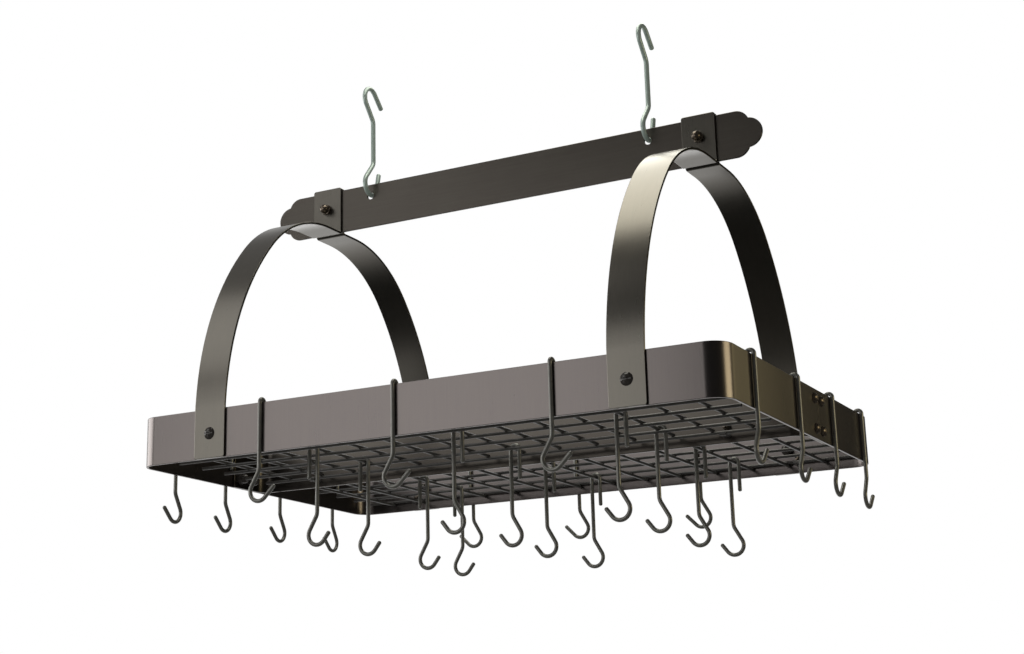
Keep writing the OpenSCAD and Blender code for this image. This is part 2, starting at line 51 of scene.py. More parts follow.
RIM_H = 60.0
RIM_CORNER_R = 25.0
SEAM_Y = 43.0
SEAM_GAP = 0.4
STRIP_CORNER_R = 0.4
EDGE_R = 0.55
BEND_STEPS = 4
BEND_STEP = 2.5
JOIN_GAP, CUT_GAP = 0.002, 0.0005
CREASE = math.radians(20)
MOTTLE_WAVES, MOTTLE_SHARE = 18.0, 0.35
PEEL_WAVES, PEEL_DEPTH, PEEL_STRENGTH = 700.0, 0.0002, 0.03
GLOSS_PLAY = 0.008
RIM_COLOUR, RIM_PALE = "#6c6664", "#6f6966"


def linear(colour):
    """A colour written as sRGB hex, as the linear values that a shader takes."""
    parts = [int(colour[k:k + 2], 16) / 255 for k in (1, 3, 5)]
    return tuple(p / 12.92 if p <= 0.04045 else ((p + 0.055) / 1.055) ** 2.4 for p in parts) + (1.0,)


def add(tree, kind, inputs=None, **settings):
    """Adds a node with its settings. An input is given a value or another node's output."""
    node = tree.nodes.new(kind)
    for name, value in settings.items():
        setattr(node, name, value)
    for key, value in (inputs or {}).items():
        socket = node.inputs[key]
        if isinstance(value, bpy.types.NodeSocket):
            tree.links.new(value, socket)
        else:
            socket.default_value = value
    return node


def satin_coat(name, colour, pale, roughness, metallic, grain):
    """Satin powder coat on steel. Grain gives the noise waves per metre along X, Y and Z."""
    material = bpy.data.materials.new(name)
    material.use_nodes = True
    tree = material.node_tree
    tree.nodes.clear()
    place = add(tree, "ShaderNodeTexCoord").outputs["Object"]
    grained = add(tree, "ShaderNodeMapping", {"Vector": place, "Scale": grain})
    brush = add(tree, "ShaderNodeTexNoise", {
        "Vector": grained.outputs[0], "Scale": 1.0, "Detail": 4.0, "Roughness": 0.65})
    mottle = add(tree, "ShaderNodeTexNoise", {"Vector": place, "Scale": MOTTLE_WAVES, "Detail": 3.0})
    both = add(tree, "ShaderNodeMix", {
        "Factor": MOTTLE_SHARE, "A": brush.outputs["Fac"], "B": mottle.outputs["Fac"]})
    shade = add(tree, "ShaderNodeMapRange", {
        "Value": both.outputs["Result"], "From Min": 0.36, "From Max": 0.64})
    tint = add(tree, "ShaderNodeMix", data_type="RGBA")
    tree.links.new(shade.outputs["Result"], tint.inputs["Factor"])
    tint.inputs["A"].default_value = linear(colour)
    tint.inputs["B"].default_value = linear(pale)
    gloss = add(tree, "ShaderNodeMapRange", {
        "Value": both.outputs["Result"], "From Min": 0.3, "From Max": 0.7,
        "To Min": roughness - GLOSS_PLAY, "To Max": roughness + GLOSS_PLAY})
    peel = add(tree, "ShaderNodeTexNoise", {"Vector": place, "Scale": PEEL_WAVES, "Detail": 2.0})
    relief = add(tree, "ShaderNodeBump", {
        "Strength": PEEL_STRENGTH, "Distance": PEEL_DEPTH, "Height": peel.outputs["Fac"]})
    coat = add(tree, "ShaderNodeBsdfPrincipled", {
        "Base Color": tint.outputs["Result"], "Roughness": gloss.outputs["Result"],
        "Normal": relief.outputs["Normal"], "Metallic": metallic})
    add(tree, "ShaderNodeOutputMaterial", {"Surface": coat.outputs[0]})
    return material


def plan(path, s):
    """Where a bent strip's middle is after the length s, and the way it then heads, in its own plane.
    The path is a list of (length, radius): a straight run has radius 0, a left turn a positive one."""
    x, y, heading = 0.0, 0.0, 0.0
    for k, (length, radius) in enumerate(path):
        step = min(s, length) if k < len(path) - 1 else s
        if radius:
            turn = step / radius
            x += radius * (math.sin(heading + turn) - math.sin(heading))
            y -= radius * (math.cos(heading + turn) - math.cos(heading))
            heading += turn
        else:
            x += step * math.cos(heading)
            y += step * math.sin(heading)
        s -= step
        if s <= 0:
            break
    return x, y, heading


def run_of(path):
    """The length of a bent strip along its middle."""
    return sum(length for length, radius in path)


def arc(x, y, r, start, end, count):
    """Points along an arc round (x, y), both its ends with them."""
    angles = [start + (end - start) * k / count for k in range(count + 1)]
    return [(x + r * math.cos(a), y + r * math.sin(a)) for a in angles]


def rounded(length, width, r, count=6):
    """A strip's outline from its start at 0, centred across, with round corners."""
    out = []
    for cx, cy, a0 in ((length - r, width / 2 - r, 0), (r, width / 2 - r, 90),
                       (r, r - width / 2, 180), (length - r, r - width / 2, 270)):
        out += arc(cx, cy, r, math.radians(a0), math.radians(a0 + 90), count)
    return out


def bent_plate(name, outlines, path, place, across, up, material, edge=EDGE_R, thick=STRIP_T):
    """Cuts a flat plate with eased edges, then bends it along the path. Sizes are in millimetres.
    Place is the path's start, across its first direction, up the direction of the plate's width."""
    curve = bpy.data.curves.new(name, "CURVE")
    curve.dimensions = "2D"
    curve.fill_mode = "BOTH"
    curve.extrude = thick / 2 - edge
    curve.bevel_depth = edge
    curve.bevel_resolution = 1
    curve.offset = -edge
    for outline in outlines:
        spline = curve.splines.new("POLY")
        spline.points.add(len(outline) - 1)
        for point, (x, y) in zip(spline.points, outline):
            point.co = (x, y, 0, 1)
        spline.use_cyclic_u = True
    flat = bpy.data.objects.new(name + "_flat", curve)
    bpy.context.scene.collection.objects.link(flat)
    graph = bpy.context.evaluated_depsgraph_get()
    mesh = bpy.data.meshes.new_from_object(flat.evaluated_get(graph))
    bpy.data.objects.remove(flat)
    shape = bmesh.new()
    shape.from_mesh(mesh)
    bmesh.ops.remove_doubles(shape, verts=shape.verts, dist=JOIN_GAP)
    start = 0.0
    for length, radius in path:
        if radius:
            steps = max(BEND_STEPS, round(math.degrees(abs(length / radius)) / BEND_STEP))
            for k in range(steps + 1):
                bmesh.ops.bisect_plane(
                    shape, geom=shape.verts[:] + shape.edges[:] + shape.faces[:], dist=CUT_GAP,
                    plane_co=(start + length * k / steps, 0, 0), plane_no=(1, 0, 0))
        start += length
    ex, ez = Vector(across), Vector(up)
    ey = ez.cross(ex)
    for v in shape.verts:
        x, y, heading = plan(path, v.co.x)
        x -= v.co.z * math.sin(heading)
        y += v.co.z * math.cos(heading)
        v.co = (Vector(place) + ex * x + ey * y + ez * v.co.y - ORIGIN) * MM
    bmesh.ops.recalc_face_normals(shape, faces=shape.faces)
    shape.to_mesh(mesh)
    shape.free()
    mesh.materials.clear()
    mesh.materials.append(material)
    mesh.shade_smooth()
    mesh.set_sharp_from_angle(angle=CREASE)
    piece = bpy.data.objects.new(name, mesh)
    bpy.context.scene.collection.objects.link(piece)
    return piece


rim_coat = satin_coat(
    "satin_grey_bronze_powder_coat", RIM_COLOUR, RIM_PALE,
    roughness=0.28, metallic=0.98, grain=(420.0, 420.0, 12.0))
corner_r = RIM_CORNER_R - STRIP_T / 2
corner_l = corner_r * math.pi / 2
short_run = RIM_D / 2 - RIM_CORNER_R
side_start = SEAM_Y + SEAM_GAP / 2
rim_path = [
    (short_run - side_start, 0), (corner_l, corner_r), (RIM_L - 2 * RIM_CORNER_R, 0),
    (corner_l, corner_r), (short_run + SEAM_Y - SEAM_GAP / 2, 0)]
for name, degrees in (("rim_front_half", 0), ("rim_rear_half", 180)):
    turn = Matrix.Rotation(math.radians(degrees), 3, "Z")
    piece = bent_plate(
        name + "_strip", [rounded(run_of(rim_path), RIM_H, STRIP_CORNER_R, count=2)], rim_path,
        turn @ Vector((STRIP_T / 2 - RIM_L / 2, -side_start, RIM_H / 2)),
        turn @ Vector((0, -1, 0)), (0, 0, 1), rim_coat)
    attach(piece, "rack")
    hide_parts(name)


# The crossbar
# One flat strip on edge across the middle of the rim, its ends bent round to lie inside the short
# ends as splice plates. It carries the two grids' inner edges. Coated as the rim, a shade darker.
CROSSBAR_BEND_R = 16.0
SPLICE_REACH = 23.0
BAR_COLOUR, BAR_PALE = "#56514c", "#59554f"

bar_coat = satin_coat(
    "satin_dark_bronze_powder_coat", BAR_COLOUR, BAR_PALE,
    roughness=0.3, metallic=0.98, grain=(14.0, 380.0, 380.0))
bend_r = CROSSBAR_BEND_R + STRIP_T / 2
plate_x = RIM_L / 2 - 1.5 * STRIP_T
plate_run = SEAM_Y + SPLICE_REACH - bend_r
crossbar_path = [
    (plate_run, 0), (bend_r * math.pi / 2, -bend_r), (2 * (plate_x - bend_r), 0),
    (bend_r * math.pi / 2, bend_r), (plate_run, 0)]
piece = bent_plate(
    "crossbar_strip", [rounded(run_of(crossbar_path), RIM_H, STRIP_CORNER_R, count=2)],
    crossbar_path, (-plate_x, -SEAM_Y - SPLICE_REACH, RIM_H / 2), (0, 1, 0), (0, 0, 1), bar_coat)
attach(piece, "rack")
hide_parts("crossbar")


# The arches
# Four arms of flat strip with rounded ends, rolled to two curves and bent up to a tab at the top.
# Each foot is screwed to the outside of the rim, each tab bolted to the top bar.
ARCH_W = 44.0
ARCH_X = 271.5
KNEE_R = 100.0
KNEE_TURN = 3.8
KNEE_RUN = 2.0
LOW_R = 358.0
LOW_TURN = 43.0
HIGH_R = 179.5
TAB_BEND_R = 2.0
TAB_OVER = 4.0
ARCH_CORNER_R = 3.0
BAR_H = 60.0
ARCH_COLOUR, ARCH_PALE = "#67645d", "#6b6760"

arch_coat = satin_coat(
    "satin_black_bronze_powder_coat", ARCH_COLOUR, ARCH_PALE,
    roughness=0.28, metallic=0.98, grain=(420.0, 40.0, 40.0))
knee, low_turn = math.radians(KNEE_TURN), math.radians(LOW_TURN)
arch_out_y = RIM_D / 2 + STRIP_T
high_end_y = (arch_out_y - KNEE_R * (1 - math.cos(knee)) - KNEE_RUN * math.sin(knee)
              - LOW_R * (math.cos(knee) - math.cos(low_turn)) - HIGH_R * math.cos(low_turn))
arch_top_z = (RIM_H + KNEE_R * math.sin(knee) + KNEE_RUN * math.cos(knee)
              + LOW_R * (math.sin(low_turn) - math.sin(knee)) + HIGH_R * (1 - math.sin(low_turn)))
knee_r, low_r, high_r, tab_r = [r - STRIP_T / 2 for r in (KNEE_R, LOW_R, HIGH_R, TAB_BEND_R + STRIP_T)]
arch_path = [
    (RIM_H, 0), (knee_r * knee, knee_r), (KNEE_RUN, 0), (low_r * (low_turn - knee), low_r),
    (high_r * (math.pi / 2 - low_turn), high_r), (high_end_y - STRIP_T - tab_r, 0),
    (tab_r * math.pi / 2, -tab_r), (BAR_H + TAB_OVER - TAB_BEND_R, 0)]
for name, sx, sy in (("arch_front_left", -1, -1), ("arch_front_right", 1, -1),
                     ("arch_rear_left", -1, 1), ("arch_rear_right", 1, 1)):
    piece = bent_plate(
        name + "_strip", [rounded(run_of(arch_path), ARCH_W, ARCH_CORNER_R)], arch_path,
        (sx * ARCH_X, sy * (RIM_D / 2 + STRIP_T / 2), 0), (0, 0, 1), (sy, 0, 0), arch_coat)
    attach(piece, "rack")
    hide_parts(name)


# The top bar
# One plate on edge between the arches' tabs, its ends sawn to three round lobes.
# A hole near the upper edge at each side takes a ceiling hook.
BAR_L = 704.0
LOBE_R = 19.0
SHOULDER_R = 18.0
SHOULDER_BACK = 15.0
HOOK_X = 203.6
HOOK_HOLE_DROP = 16.0
HOOK_HOLE_D = 9.5
SHOULDER_STEPS, LOBE_STEPS, HOLE_STEPS = 12, 10, 32

lobe_x = BAR_L / 2 - LOBE_R
shoulder_x = lobe_x - SHOULDER_BACK
shoulder_z = BAR_H / 2 - SHOULDER_R
# Where a shoulder's circle meets the lobe's, seen from both centres
apart = math.hypot(SHOULDER_BACK, shoulder_z)
lean = math.atan2(shoulder_z, -SHOULDER_BACK)
from_lobe = math.acos((LOBE_R ** 2 + apart ** 2 - SHOULDER_R ** 2) / (2 * LOBE_R * apart))
lobe_end = lean - from_lobe
meet_x, meet_z = lobe_x + LOBE_R * math.cos(lobe_end), LOBE_R * math.sin(lobe_end)
shoulder_end = math.atan2(meet_z - shoulder_z, meet_x - shoulder_x)
quarter = arc(shoulder_x, shoulder_z, SHOULDER_R, math.pi / 2, shoulder_end, SHOULDER_STEPS)
quarter += arc(lobe_x, 0, LOBE_R, lobe_end, 0, LOBE_STEPS)[1:]
half = quarter + [(x, -y) for x, y in reversed(quarter[:-1])]
outline = half + [(-x, -y) for x, y in half]
holes = [arc(sx * HOOK_X, BAR_H / 2 - HOOK_HOLE_DROP, HOOK_HOLE_D / 2, 0, 2 * math.pi, HOLE_STEPS)[:-1]
         for sx in (-1, 1)]
piece = bent_plate(
    "top_bar_plate", [outline] + holes, [(BAR_L, 0)],
    (0, 0, arch_top_z + BAR_H / 2), (1, 0, 0), (0, 0, 1), bar_coat)
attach(piece, "rack")
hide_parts("top_bar")


# The grids
# Two welded grids of drawn steel wire, one each side of the crossbar: long wires one way, cross wires
# resting on them and resistance welded, with a small bead squeezed out at each crossing.
GRID_WIRE = 4.0
WELD_SINK = 0.3
CROSS_PITCH = 49.4
CROSS_COUNT = 14
LONG_PITCH = 46.6
LONG_COUNT = 6
FIRST_LONG_Y = 16.1
LONG_END_X = 359.05
WIRE_STUB = 1.0
GRID_Z = 10.0
GRID_SIDES = 16
BEAD_R, BEAD_SQUASH = 2.3, 0.45
WIRE_CREASE = math.radians(40)
GRID_COLOUR, GRID_PALE = "#3a3938", "#474542"

grid_coat = satin_coat(
    "satin_black_coated_grid_wire", GRID_COLOUR, GRID_PALE,
    roughness=0.3, metallic=0.5, grain=(120.0, 120.0, 120.0))


def tree_with(name, sockets):
    """A geometry tree with its named inputs. Returns the tree, its input node and its end."""
    tree = bpy.data.node_groups.new(name, "GeometryNodeTree")
    tree.interface.new_socket(name="Geometry", in_out="OUTPUT", socket_type="NodeSocketGeometry")
    for label, kind in sockets:
        tree.interface.new_socket(name=label, in_out="INPUT", socket_type="NodeSocket" + kind)
    return tree, add(tree, "NodeGroupInput"), add(tree, "NodeGroupOutput")


def calc(tree, operation, *values, **settings):
    """A math node's result. Each value is a number or another node's output."""
    node = add(tree, "ShaderNodeMath", dict(enumerate(values)), operation=operation, **settings)
    return node.outputs[0]


def vector(tree, **parts):
    """A vector made of the parts that are given, with 0 for the others."""
    return add(tree, "ShaderNodeCombineXYZ", parts).outputs[0]


def grown(name, base, tree, values):
    """The plain mesh that a geometry tree makes on a base mesh, with its inputs set before it runs."""
    piece = bpy.data.objects.new(name, base)
    bpy.context.scene.collection.objects.link(piece)
    modifier = piece.modifiers.new(tree.name, "NODES")
    modifier.node_group = tree
    for item in tree.interface.items_tree:
        if item.in_out == "INPUT" and item.name in values:
            modifier[item.identifier] = values[item.name]
    graph = bpy.context.evaluated_depsgraph_get()
    mesh = bpy.data.meshes.new_from_object(piece.evaluated_get(graph))
    piece.modifiers.remove(modifier)
    piece.data = mesh
    mesh.name = name
    return piece


grid_tree, given, end = tree_with("welded_grid", [
    ("Geometry", "Geometry"), ("Wire radius", "Float"), ("Long wires", "Int"), ("Long pitch", "Float"),
    ("Long length", "Float"), ("Long height", "Float"), ("Cross wires", "Int"), ("Cross pitch", "Float"),
    ("Cross length", "Float"), ("Cross height", "Float"), ("Middle", "Float"), ("Bead radius", "Float"),
    ("Material", "Material")])
section = add(grid_tree, "GeometryNodeCurvePrimitiveCircle", {
    "Resolution": GRID_SIDES, "Radius": given.outputs["Wire radius"]})
layers, spreads = [], {}
for along, axis, turn in (("Long", "Y", (0, 0, 0)), ("Cross", "X", (0, 0, math.pi / 2))):
    half_run = calc(grid_tree, "MULTIPLY", given.outputs[along + " length"], 0.5)
    minus = calc(grid_tree, "MULTIPLY", given.outputs[along + " length"], -0.5)
    line = add(grid_tree, "GeometryNodeCurvePrimitiveLine", {
        "Start": vector(grid_tree, X=minus), "End": vector(grid_tree, X=half_run)})
    wire = add(grid_tree, "GeometryNodeCurveToMesh", {
        "Curve": line.outputs["Curve"], "Profile Curve": section.outputs["Curve"], "Fill Caps": True})
    gaps = calc(grid_tree, "ADD", given.outputs[along + " wires"], -1.0)
    spreads[along] = calc(grid_tree, "MULTIPLY", gaps, given.outputs[along + " pitch"])
    back = calc(grid_tree, "MULTIPLY", spreads[along], -0.5)
    row = add(grid_tree, "GeometryNodeMeshLine", {
        "Count": given.outputs[along + " wires"], "Start Location": vector(grid_tree, **{axis: back}),
        "Offset": vector(grid_tree, **{axis: given.outputs[along + " pitch"]})})
    rows = add(grid_tree, "GeometryNodeInstanceOnPoints", {
        "Points": row.outputs["Mesh"], "Instance": wire.outputs["Mesh"], "Rotation": turn})
    layers.append(add(grid_tree, "GeometryNodeTransform", {
        "Geometry": rows.outputs["Instances"],
        "Translation": vector(grid_tree, Z=given.outputs[along + " height"])}).outputs[0])
sheet = add(grid_tree, "GeometryNodeMeshGrid", {
    "Size X": spreads["Cross"], "Size Y": spreads["Long"],
    "Vertices X": given.outputs["Cross wires"], "Vertices Y": given.outputs["Long wires"]})
ball = add(grid_tree, "GeometryNodeMeshUVSphere", {
    "Segments": 12, "Rings": 6, "Radius": given.outputs["Bead radius"]})
heights = calc(grid_tree, "ADD", given.outputs["Long height"], given.outputs["Cross height"])
mid_height = calc(grid_tree, "MULTIPLY", heights, 0.5)
beads = add(grid_tree, "GeometryNodeInstanceOnPoints", {
    "Points": sheet.outputs["Mesh"], "Instance": ball.outputs["Mesh"], "Scale": (1.0, 1.0, BEAD_SQUASH)})
beads_up = add(grid_tree, "GeometryNodeTransform", {
    "Geometry": beads.outputs["Instances"], "Translation": vector(grid_tree, Z=mid_height)})
joined = add(grid_tree, "GeometryNodeJoinGeometry")
for part in layers + [beads_up.outputs[0]]:
    grid_tree.links.new(part, joined.inputs[0])
placed = add(grid_tree, "GeometryNodeTransform", {
    "Geometry": joined.outputs[0], "Translation": vector(grid_tree, Y=given.outputs["Middle"])})
real = add(grid_tree, "GeometryNodeRealizeInstances", {"Geometry": placed.outputs[0]})
smooth = add(grid_tree, "GeometryNodeSetShadeSmooth", {"Geometry": real.outputs[0]})
dressed = add(grid_tree, "GeometryNodeSetMaterial", {
    "Geometry": smooth.outputs[0], "Material": given.outputs["Material"]})
grid_tree.links.new(dressed.outputs[0], end.inputs["Geometry"])

upper_z = GRID_Z + GRID_WIRE - WELD_SINK
for name, side, long_z, cross_z in (
        ("grid_front", -1, GRID_Z, upper_z), ("grid_rear", 1, upper_z, GRID_Z)):
    piece = grown(name + "_wires", bpy.data.meshes.new(name + "_start"), grid_tree, {
        "Wire radius": GRID_WIRE / 2 * MM, "Long wires": LONG_COUNT, "Long pitch": LONG_PITCH * MM,
        "Long length": 2 * LONG_END_X * MM, "Long height": (long_z - HANG_Z) * MM,
        "Cross wires": CROSS_COUNT, "Cross pitch": CROSS_PITCH * MM,
        "Cross length": ((LONG_COUNT - 1) * LONG_PITCH + GRID_WIRE + 2 * WIRE_STUB) * MM,
        "Cross height": (cross_z - HANG_Z) * MM,
        "Middle": side * (FIRST_LONG_Y + (LONG_COUNT - 1) * LONG_PITCH / 2) * MM,
        "Bead radius": BEAD_R * MM, "Material": grid_coat})
    piece.data.set_sharp_from_angle(angle=WIRE_CREASE)
    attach(piece, "rack")
    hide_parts(name)


# The ceiling hooks
# Drawn round wire, cut, tumbled so that the ends are rounded, then bent cold round pins.
# The lower loops pass through the top bar's holes, and the upper ones hang on the ceiling.
CEILING_WIRE = 6.4
CEILING_R = 15.0
CEILING_SPAN = 124.0
CEILING_OFFSET = 6.3
CEILING_JOG = 40.0
CEILING_JOG_R = 14.0
LOWER_SLOPE, LOWER_TIP = 77.0, 25.0
UPPER_SLOPE, UPPER_TIP = 45.0, 25.0
SWING_Z = 406.384
CEILING_END = 2.4
END_MARKS = (0.1, 0.4, 0.9, 1.6, 2.5)
LEAST_GIRTH = 0.12
WIRE_SIDES = 24
ARC_STEP = 7
# The ceiling hooks' coat is paler than the pot hooks'. Part of that is the wire's own grey-green tint,
# and part is a painted reflection of the bright surround.
CEILING_TINT_AND_REFLECTION, CEILING_PALE_TINT_AND_REFLECTION = "#87948d", "#8f9b94"

ceiling_coat_and_painted_reflection = satin_coat(
    "satin_grey_green_wire_with_painted_reflection", CEILING_TINT_AND_REFLECTION, CEILING_PALE_TINT_AND_REFLECTION,
    roughness=0.34, metallic=0.4, grain=(160.0, 160.0, 160.0))

wire_tree, given, end = tree_with("bent_wire", [
    ("Geometry", "Geometry"), ("Wire radius", "Float"), ("End length", "Float"),
    ("Material", "Material")])
centre_line = add(wire_tree, "GeometryNodeMeshToCurve", {"Mesh": given.outputs["Geometry"]})
along = add(wire_tree, "GeometryNodeSplineParameter").outputs["Length"]
whole = add(wire_tree, "GeometryNodeSplineLength").outputs["Length"]
# The wire thins to a round end over its last few millimetres
near = calc(wire_tree, "MINIMUM", along, calc(wire_tree, "SUBTRACT", whole, along))
part = calc(wire_tree, "DIVIDE", near, given.outputs["End length"], use_clamp=True)
left = calc(wire_tree, "SUBTRACT", 1.0, part)
kept = calc(wire_tree, "SUBTRACT", 1.0, calc(wire_tree, "MULTIPLY", left, left))
girth = calc(wire_tree, "MAXIMUM", calc(wire_tree, "SQRT", kept), LEAST_GIRTH)
section = add(wire_tree, "GeometryNodeCurvePrimitiveCircle", {
    "Resolution": WIRE_SIDES, "Radius": given.outputs["Wire radius"]})
tube = add(wire_tree, "GeometryNodeCurveToMesh", {
    "Curve": centre_line.outputs["Curve"], "Profile Curve": section.outputs["Curve"],
    "Scale": girth, "Fill Caps": True})
real = add(wire_tree, "GeometryNodeRealizeInstances", {"Geometry": tube.outputs["Mesh"]})
smooth = add(wire_tree, "GeometryNodeSetShadeSmooth", {"Geometry": real.outputs[0]})
dressed = add(wire_tree, "GeometryNodeSetMaterial", {
    "Geometry": smooth.outputs[0], "Material": given.outputs["Material"]})
wire_tree.links.new(dressed.outputs[0], end.inputs["Geometry"])


def turned(degrees, axis):
    """A turn about an axis through the origin."""
    return Matrix.Rotation(math.radians(degrees), 4, axis)


def wire_points(steps, placing):
    """The centre line of a bent wire. Each step is a straight run, a roll about it, then a turn and
    its radius. The last step is a run alone, with radius 0."""
    at = placing.copy()
    points = [at.translation.copy()]
    for run, roll, turn, radius in steps:
        if len(points) == 1:
            points += [(at @ Matrix.Translation((m, 0, 0))).translation for m in END_MARKS]
        if radius == 0:
            points += [(at @ Matrix.Translation((run - m, 0, 0))).translation
                       for m in reversed(END_MARKS)]
        at = at @ Matrix.Translation((run, 0, 0))
        points.append(at.translation.copy())
        if radius:
            at = at @ turned(roll, "X")
            side = math.copysign(radius, turn)
            to_pin, from_pin = Matrix.Translation((0, side, 0)), Matrix.Translation((0, -side, 0))
            count = max(BEND_STEPS, round(abs(turn) / ARC_STEP))
            for k in range(1, count + 1):
                bent = at @ to_pin @ turned(turn * k / count, "Z") @ from_pin
                points.append(bent.translation.copy())
            at = bent
    return points


def wire_piece(name, line, radius, end_l, material):
    """A wire round a centre line that is given in millimetres above the rim's lower edge."""
    mesh = bpy.data.meshes.new(name)
    mesh.from_pydata([(p - ORIGIN) * MM for p in line], [(k, k + 1) for k in range(len(line) - 1)], [])
    return grown(name + "_wire", mesh, wire_tree, {
        "Wire radius": radius * MM, "End length": end_l * MM, "Material": material})


def half_hook(slope, tip):
    """Half a ceiling hook, from the middle of its shaft round one loop."""
    jog = math.radians(CEILING_JOG)
    over = CEILING_R * math.cos(jog) + CEILING_OFFSET - CEILING_JOG_R * (1 - math.cos(jog))
    run = over / math.sin(jog)
    shaft = CEILING_SPAN / 2 - (CEILING_R + CEILING_JOG_R) * math.sin(jog) - run * math.cos(jog)
    return [(shaft, 0, -CEILING_JOG, CEILING_JOG_R), (run, 0, CEILING_JOG + 90 + slope, CEILING_R),
            (tip, 0, 0, 0)]


# Both halves start at mid-shaft, where the points for a cut end are left out
lead = 1 + len(END_MARKS)
for name, side in (("ceiling_hook_left", -1), ("ceiling_hook_right", 1)):
    middle = Matrix.Translation((side * HOOK_X, 0, SWING_Z + CEILING_SPAN / 2)) @ turned(90, "Z")
    flipped = middle @ Matrix.Diagonal((1, 1, -1, 1))
    from_shaft = Matrix.Translation((CEILING_OFFSET, 0, 0)) @ turned(90, "Y") @ turned(90, "X")
    lower = wire_points(half_hook(LOWER_SLOPE, LOWER_TIP), middle @ from_shaft)
    upper = wire_points(half_hook(UPPER_SLOPE, UPPER_TIP), flipped @ from_shaft)
    line = list(reversed(upper[lead:])) + lower[lead:]
    piece = wire_piece(name, line, CEILING_WIRE / 2, CEILING_END, ceiling_coat_and_painted_reflection)
    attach(piece, "ceiling_hooks")
    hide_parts(name)


# The pot hooks
# Thinner wire of the same make, with a jog in the leg so that a pot hangs under the upper bend.
# Fourteen sit loose on the rim's upper edge, twelve on the grids' cross wires.
HOOK_WIRE = 5.0
HOOK_H = 126.5
HOOK_SHORT = 45.0
BOWL_R = 12.0
HOOK_JOG = 30.0
HOOK_JOG_R = 14.0
HOOK_END = 2.0
RIM_PLAY = 0.5
SEAT_GAP = 0.3
RIM_TIP_SLOPE, RIM_TIP = 45.0, 19.5
GRID_TIP_SLOPE, GRID_TIP = 52.0, 13.0
GRID_LEG_GAP = 11.5
SPLICE_CLEAR = 5.0
FRONT_SHARES = (-0.52, -0.04, 0.48)
RIGHT_SHARES = (-0.69, -0.13, 0.36, 0.82)
REAR_SHARES = (0.385, -0.08, -0.515)
LEFT_SHARES = (0.71, 0.2, -0.695)
GRID_STEPS = (-3.5, 0.5, 4.5)
FRONT_GRID_SHARES = (3.6, 1.13, 3.56, 0.48, 3.22, 0.79)
REAR_GRID_SHARES = (1.36, 3.39, 0.86, 3.85, 1.14, 3.65)
HOOK_COLOUR, HOOK_PALE = "#605f5a", "#686762"

hook_coat = satin_coat(
    "satin_dark_grey_coated_wire", HOOK_COLOUR, HOOK_PALE,
    roughness=0.28, metallic=0.6, grain=(160.0, 160.0, 160.0))


def pot_hook_points(placing, top_r, twist, slope, tip):
    """The centre line of a pot hook. It is placed by its upper bend's centre, and the twist turns
    the lower part about the leg."""
    jog = math.radians(HOOK_JOG)
    wire = HOOK_WIRE / 2
    run = (BOWL_R * math.cos(jog) - HOOK_JOG_R * (1 - math.cos(jog))) / math.sin(jog)
    bowl_h = BOWL_R * (1 + math.sin(jog)) + run * math.cos(jog) + HOOK_JOG_R * math.sin(jog) + wire
    short_leg = HOOK_SHORT - top_r - wire
    start = placing @ Matrix.Translation((-top_r, 0, -short_leg)) @ turned(-90, "Y") @ turned(90, "X")
    return wire_points([
        (short_leg, 0, -180, top_r), (HOOK_H - top_r - wire - bowl_h, twist, -HOOK_JOG, HOOK_JOG_R),
        (run, 0, HOOK_JOG + 90 + slope, BOWL_R), (tip, 0, 0, 0)], start)


mid_l, mid_d = (RIM_L - STRIP_T) / 2, (RIM_D - STRIP_T) / 2
left_ys = [share * RIM_D / 2 for share in LEFT_SHARES]
left_ys.insert(2, -(SEAM_Y + SPLICE_REACH + SPLICE_CLEAR + HOOK_WIRE / 2))
rim_hooks = [
    ("front_rim_hook_", -90, [(share * RIM_L / 2, -mid_d) for share in FRONT_SHARES]),
    ("right_rim_hook_", 0, [(mid_l, share * RIM_D / 2) for share in RIGHT_SHARES]),
    ("rear_rim_hook_", 90, [(share * RIM_L / 2, mid_d) for share in REAR_SHARES]),
    ("left_rim_hook_", 180, [(-mid_l, y) for y in left_ys])]
hook_lines = {}
rim_bend_r = STRIP_T / 2 + RIM_PLAY + HOOK_WIRE / 2
rim_bend_z = RIM_H - math.sqrt((STRIP_T / 2 + RIM_PLAY - SEAT_GAP) ** 2 - (STRIP_T / 2) ** 2)
for label, facing, places in rim_hooks:
    for k, (x, y) in enumerate(places):
        seat = Matrix.Translation((x, y, rim_bend_z)) @ turned(facing, "Z")
        hook_lines[label + str(k + 1)] = pot_hook_points(seat, rim_bend_r, -90, RIM_TIP_SLOPE, RIM_TIP)
grid_bend_r = GRID_LEG_GAP / 2
grid_drop = grid_bend_r - HOOK_WIRE / 2 - SEAT_GAP - GRID_WIRE / 2
for label, side, wire_z, shares in (("front_grid_hook_", -1, upper_z, FRONT_GRID_SHARES),
                                    ("rear_grid_hook_", 1, GRID_Z, REAR_GRID_SHARES)):
    for k, share in enumerate(shares):
        x = GRID_STEPS[k // 2] * CROSS_PITCH
        y = side * (FIRST_LONG_Y + share * LONG_PITCH)
        seat = Matrix.Translation((x, y, wire_z - grid_drop)) @ turned(0 if k < 2 else 180, "Z")
        hook_lines[label + str(k + 1)] = pot_hook_points(seat, grid_bend_r, 0, GRID_TIP_SLOPE, GRID_TIP)
for name, line in hook_lines.items():
    piece = wire_piece(name, line, HOOK_WIRE / 2, HOOK_END, hook_coat)
    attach(piece, name)
    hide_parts(name)


